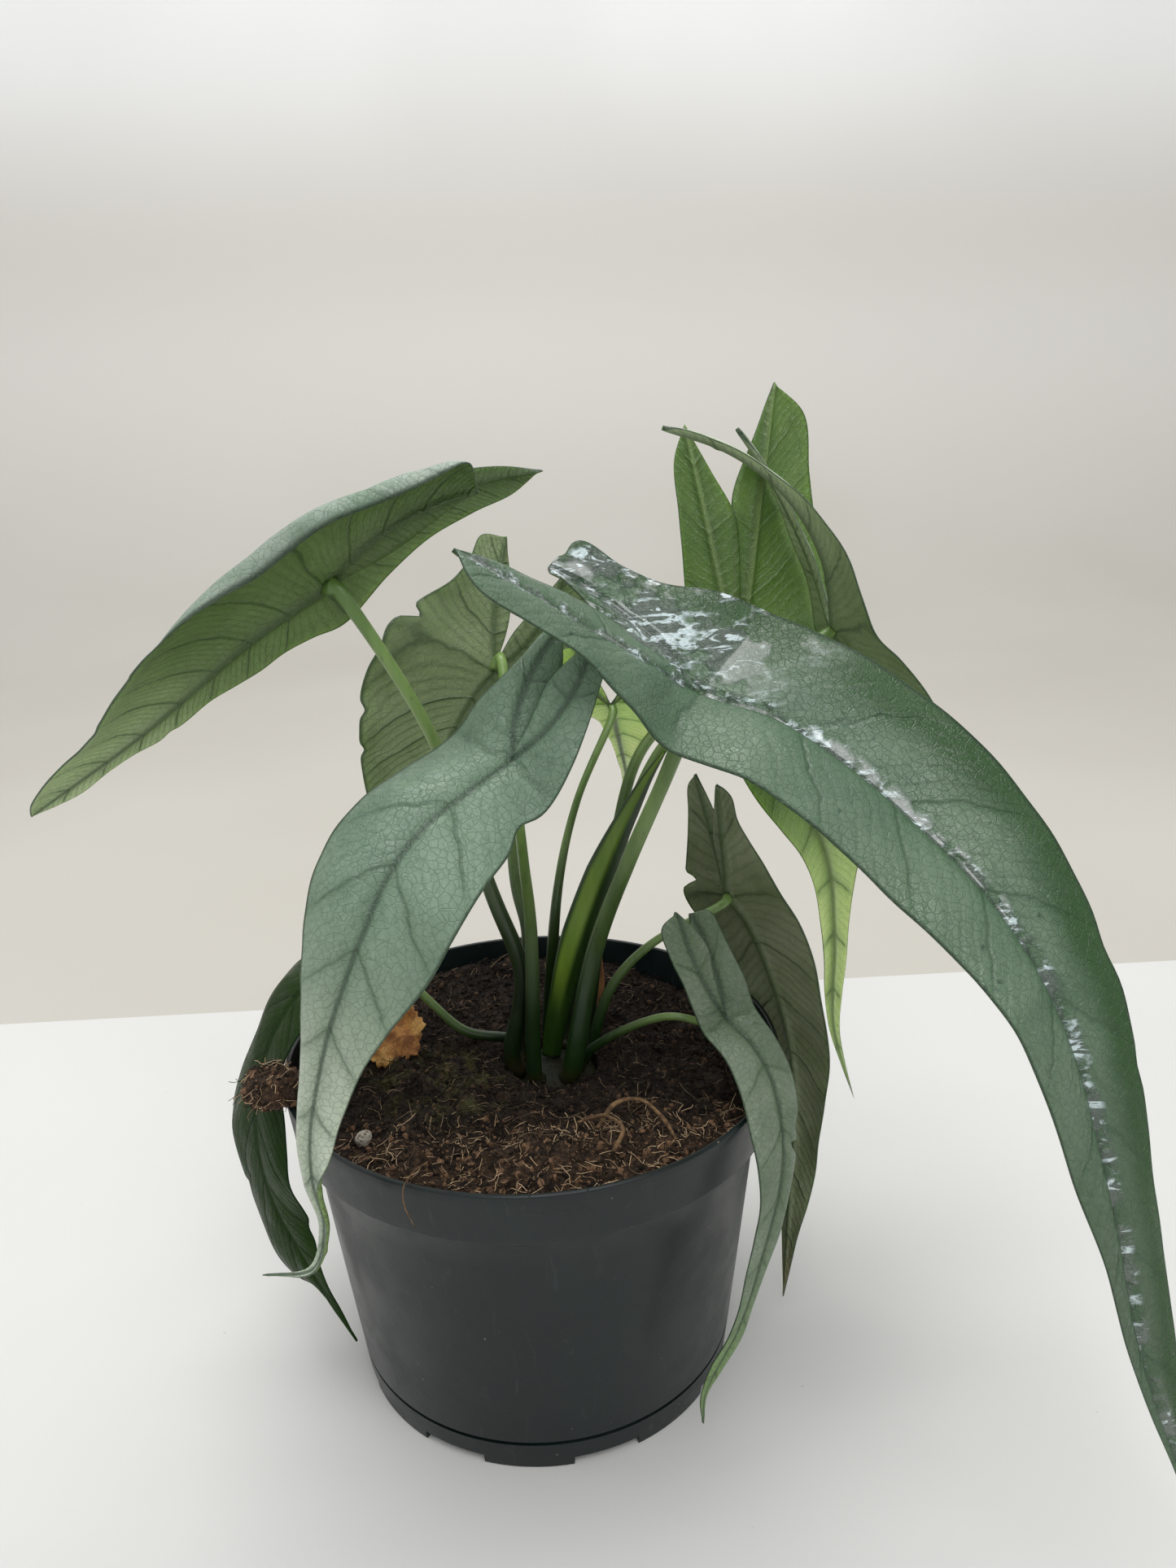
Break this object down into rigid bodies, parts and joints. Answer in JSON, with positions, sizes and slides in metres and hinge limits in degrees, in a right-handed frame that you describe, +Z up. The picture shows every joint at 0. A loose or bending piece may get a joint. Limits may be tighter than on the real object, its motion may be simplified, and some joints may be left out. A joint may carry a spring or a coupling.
{
  "type": "potted alocasia",
  "caption": "Alocasia with long arrow-shaped silvery green leaves on slender stems, growing in soil in a plain black nursery pot.",
  "frame": {"origin": "centre of the flat middle of the pot's underside, on the surface the pot stands on", "axes": "+Z up along the pot's axis; -Y towards the side the two long front leaves hang over; +X to the right of that side"},
  "size_m": [0.2636, 0.2006, 0.2751],
  "materials": {
    "pot": "semi-gloss black moulded plastic",
    "soil": "damp fibrous potting soil",
    "crown": "dull green to brown growing point",
    "leaf": "glossy silvery green blade with darker veins",
    "stem": "smooth satin green",
    "dried": "dry papery brown",
    "root": "dry fibrous",
    "crumb": "porous off-white"
  },
  "bodies": {
    "root": {"crown": "crown", "dried_flake": "dried", "dried_scale": "dried", "leaf_back_centre": "leaf", "leaf_back_left": "leaf", "leaf_back_top": "leaf", "leaf_front_left": "leaf", "leaf_front_right": "leaf", "leaf_hang_back": "leaf", "leaf_hang_front": "leaf", "leaf_low_left": "leaf", "leaf_right_edge": "leaf", "leaf_upper_left": "leaf", "new_leaf": "stem", "pot": "pot", "rim_fibre": "root", "root_long": "root", "root_short": "root", "soil": "soil", "soil_clump": "soil", "stem_back_centre": "stem", "stem_back_left": "stem", "stem_back_top": "stem", "stem_front_left": "stem", "stem_front_right": "stem", "stem_hang_back": "stem", "stem_hang_front": "stem", "stem_low_left": "stem", "stem_right_edge": "stem", "stem_upper_left": "stem", "white_crumb": "crumb"}
  },
  "joints": []
}
